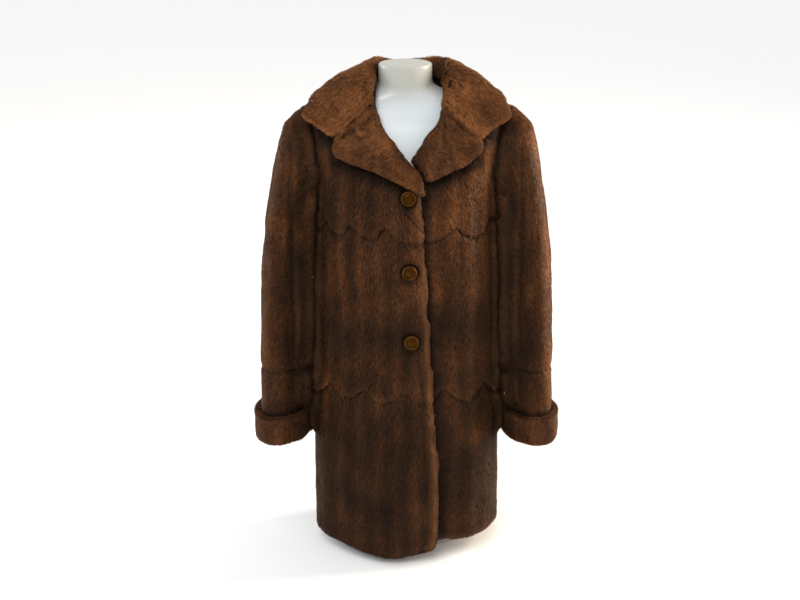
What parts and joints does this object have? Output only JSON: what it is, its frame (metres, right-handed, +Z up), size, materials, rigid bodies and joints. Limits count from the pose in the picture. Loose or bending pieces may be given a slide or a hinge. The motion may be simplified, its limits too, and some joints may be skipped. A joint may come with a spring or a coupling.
{
  "type": "fur coat on dress form",
  "caption": "Thigh-length mink coat with notched collar, scalloped tiers and turned-up cuffs, buttoned on a limbless dress form on a low stand.",
  "frame": {"origin": "on the flat underside of the stand's base plate, on the pole's axis", "axes": "+Z up, the coat's front towards -Y, the wearer's left towards +X"},
  "size_m": [0.619, 0.3099, 1.002],
  "materials": {
    "fur": "brown mink fur, soft sheen, nap downwards",
    "fur_trim": "lighter orange-brown mink fur",
    "button": "olive-brown covered button, satin",
    "form": "smooth white, satin",
    "stand": "brushed"
  },
  "bodies": {
    "root": {"front_right_upper": "fur", "front_right_middle": "fur", "front_right_lower": "fur", "front_left_upper": "fur", "front_left_middle": "fur", "front_left_lower": "fur", "back_upper": "fur", "back_middle": "fur", "back_lower": "fur", "sleeve_right_upper": "fur", "sleeve_right_lower": "fur", "sleeve_left_upper": "fur", "sleeve_left_lower": "fur", "cuff_right": "fur_trim", "cuff_left": "fur_trim", "collar": "fur_trim", "lapel_right": "fur_trim", "lapel_left": "fur_trim", "button_top": "button", "button_middle": "button", "button_bottom": "button", "form_torso": "form", "form_pole": "stand", "form_base": "stand"}
  },
  "joints": []
}
